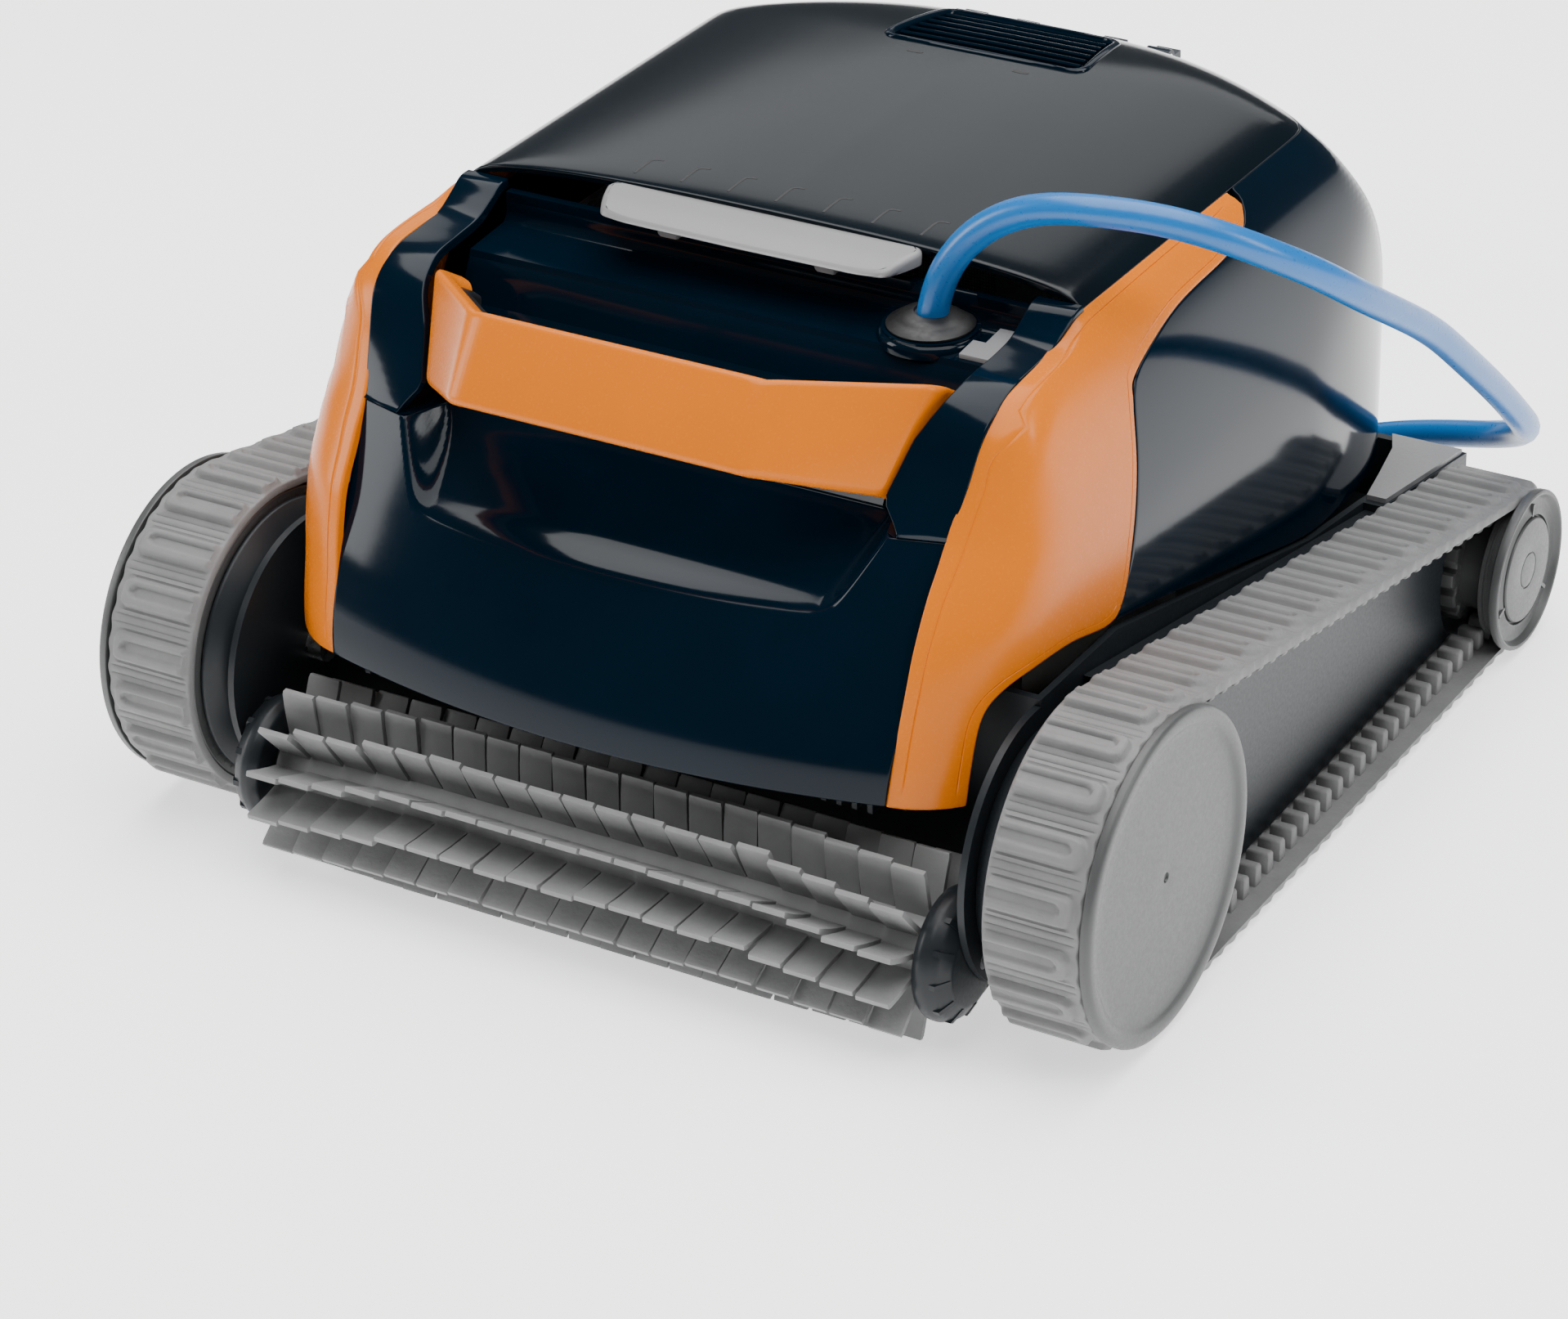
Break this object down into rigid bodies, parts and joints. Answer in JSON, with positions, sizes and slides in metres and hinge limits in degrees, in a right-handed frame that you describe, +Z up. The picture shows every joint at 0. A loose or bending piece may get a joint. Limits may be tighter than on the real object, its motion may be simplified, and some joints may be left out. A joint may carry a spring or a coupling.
{
  "type": "pool cleaner robot",
  "caption": "Tracked pool cleaning robot with a front brush roller, bridge handle, hinged lid over a filter basket and a wound floating cable.",
  "frame": {"origin": "middle of the footprint on the floor, measured without the cable", "axes": "+X towards the side that carries the cable gland, -Y towards the brush end, +Z up"},
  "size_m": [0.4536, 0.6995, 0.2648],
  "materials": {
    "slate": "satin moulded dark grey",
    "navy": "high gloss deep navy",
    "orange": "gloss orange",
    "pale": "satin light grey",
    "steel": "brushed",
    "track_rubber": "rough grey rubber",
    "wheel_grey": "satin mid grey",
    "black_rubber": "matte black rubber",
    "black_plastic": "satin black",
    "white_plastic": "satin white",
    "cable_blue": "smooth blue cable sheath"
  },
  "bodies": {
    "hull": {"chassis": "slate", "front_cover": "navy", "front_pillar_right": "navy", "front_pillar_left": "navy", "deck": "navy", "handle": "orange", "handle_liner": "orange", "side_panel_right": "orange", "side_panel_left": "orange", "side_shell_right": "navy", "side_shell_left": "navy", "rear_panel": "navy", "rear_plates": "pale", "brush_shroud": "slate", "wheel_housing_right": "slate", "wheel_housing_left": "slate", "front_axles": "steel", "rear_axles": "steel", "track_right": "track_rubber", "track_left": "track_rubber", "brush_pins": "steel", "hinge_pins": "steel", "latch_pin": "steel", "cable_gland": "black_rubber", "gland_plate": "pale", "pump_motor": "black_plastic", "outlet_duct": "slate", "filter_basket": "slate", "filter_mesh": "white_plastic", "pan_screws": "steel", "cable_run": "cable_blue", "cable_coil": "cable_blue", "coil_tie": "black_rubber", "connector": "black_plastic"},
    "lid": {"lid": "navy", "outlet_grille": "navy"},
    "latch": {"latch": "pale"},
    "front_drive_right": {"front_wheel_right": "wheel_grey", "front_wheel_cover_right": "wheel_grey"},
    "front_drive_left": {"front_wheel_left": "wheel_grey", "front_wheel_cover_left": "wheel_grey"},
    "rear_idler_right": {"rear_wheel_right": "wheel_grey", "rear_wheel_cover_right": "wheel_grey"},
    "rear_idler_left": {"rear_wheel_left": "wheel_grey", "rear_wheel_cover_left": "wheel_grey"},
    "brush": {"brush_core": "wheel_grey", "brush_flaps": "track_rubber", "brush_caps": "slate"},
    "impeller": {"impeller": "white_plastic"},
    "flap_front": {"intake_flap_front": "black_plastic"},
    "flap_rear": {"intake_flap_rear": "black_plastic"}
  },
  "joints": [
    {"name": "lid_hinge", "type": "hinge", "parent": "hull", "child": "lid", "pos_m": [0, 0.161, 0.2145], "axis": [-1, 0, 0], "range_deg": [0, 80]},
    {"name": "latch_hinge", "type": "hinge", "parent": "hull", "child": "latch", "pos_m": [0, -0.0715, 0.196], "axis": [1, 0, 0], "range_deg": [0, 9], "stiffness_Nm_per_rad": 0.3},
    {"name": "front_wheel_right_spin", "type": "hinge", "parent": "hull", "child": "front_drive_right", "pos_m": [0.178, -0.1415, 0.0615], "axis": [1, 0, 0], "continuous": true},
    {"name": "front_wheel_left_spin", "type": "hinge", "parent": "hull", "child": "front_drive_left", "pos_m": [-0.178, -0.1415, 0.0615], "axis": [1, 0, 0], "continuous": true},
    {"name": "rear_wheel_right_spin", "type": "hinge", "parent": "hull", "child": "rear_idler_right", "pos_m": [0.178, 0.1635, 0.0335], "axis": [1, 0, 0], "continuous": true},
    {"name": "rear_wheel_left_spin", "type": "hinge", "parent": "hull", "child": "rear_idler_left", "pos_m": [-0.178, 0.1635, 0.0335], "axis": [1, 0, 0], "continuous": true},
    {"name": "brush_spin", "type": "hinge", "parent": "hull", "child": "brush", "pos_m": [0, -0.1775, 0.034], "axis": [1, 0, 0], "continuous": true},
    {"name": "impeller_spin", "type": "hinge", "parent": "hull", "child": "impeller", "pos_m": [0, 0.1205, 0.16], "axis": [0, 0, 1], "continuous": true},
    {"name": "flap_front_hinge", "type": "hinge", "parent": "hull", "child": "flap_front", "pos_m": [0, -0.0389, 0.021], "axis": [1, 0, 0], "range_deg": [0, 60]},
    {"name": "flap_rear_hinge", "type": "hinge", "parent": "hull", "child": "flap_rear", "pos_m": [0, 0.0271, 0.021], "axis": [1, 0, 0], "range_deg": [0, 60]}
  ],
  "couplings": [
    {"joint": "rear_wheel_right_spin", "follows": "front_wheel_right_spin", "ratio": 2.0182},
    {"joint": "rear_wheel_left_spin", "follows": "front_wheel_left_spin", "ratio": 2.0182},
    {"joint": "brush_spin", "follows": "front_wheel_right_spin", "ratio": 2}
  ]
}
